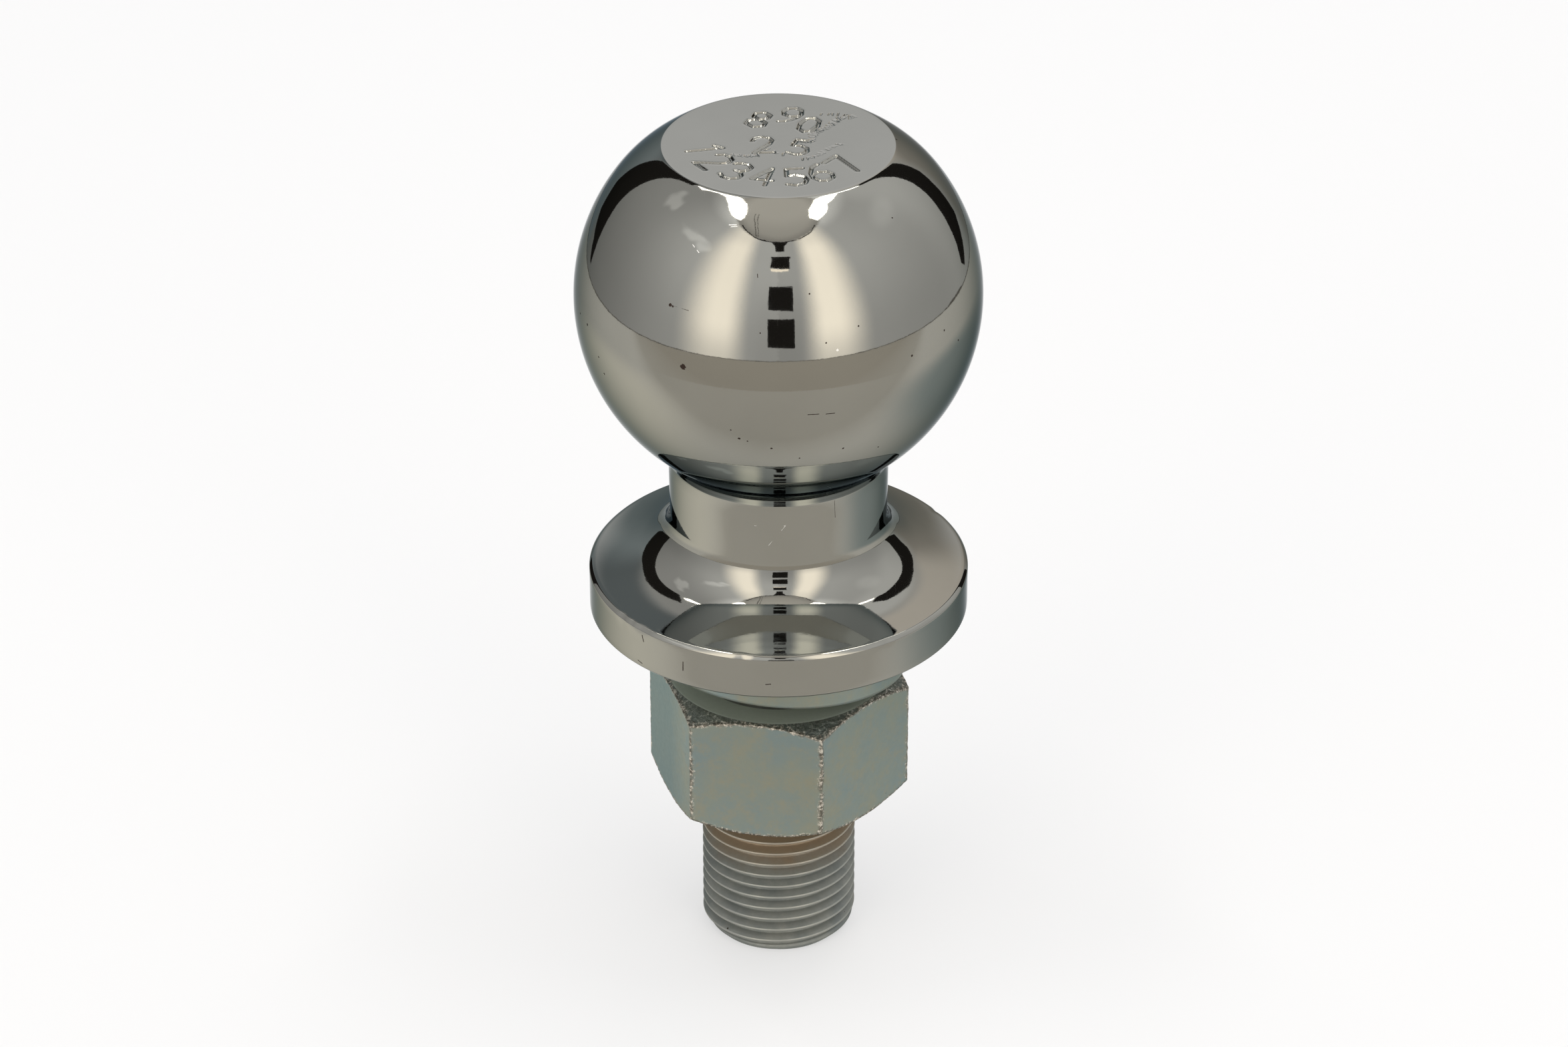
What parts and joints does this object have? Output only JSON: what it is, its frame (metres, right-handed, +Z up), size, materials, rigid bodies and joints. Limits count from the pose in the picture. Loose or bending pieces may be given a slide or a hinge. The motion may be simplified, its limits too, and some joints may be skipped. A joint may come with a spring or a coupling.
{
  "type": "threaded tow ball",
  "caption": "Flat-topped hitch ball on a waisted neck and round flange, with a threaded shank that carries a split spring washer and a hex nut.",
  "frame": {"origin": "on the ball's axis, in the plane of the flange's flat underside, which seats on the towbar", "axes": "+Z up along the axis, from the shank to the ball; the split of the washer faces -X and the nut's corners are turned 11.3 degrees back from +X"},
  "size_m": [0.0476, 0.0476, 0.106],
  "materials": {
    "chrome_plate": "bright chrome plate over forged steel, with fine scratches",
    "zinc_plate": "dull zinc plate, worn at the edges"
  },
  "bodies": {
    "stud": {"ball_stud": "chrome_plate"},
    "washer": {"spring_washer": "zinc_plate"},
    "nut": {"hex_nut": "zinc_plate"}
  },
  "joints": [
    {"name": "nut_travel", "type": "slide", "parent": "stud", "child": "washer", "axis": [0, 0, -1], "range_m": [0, 0.02]},
    {"name": "nut_turn", "type": "hinge", "parent": "washer", "child": "nut", "pos_m": [0, 0, -0.0172], "axis": [0, 0, -1], "range_deg": [0, 4535.4]}
  ],
  "couplings": [
    {"joint": "nut_travel", "follows": "nut_turn", "m_per_rad": 0.00025266}
  ]
}
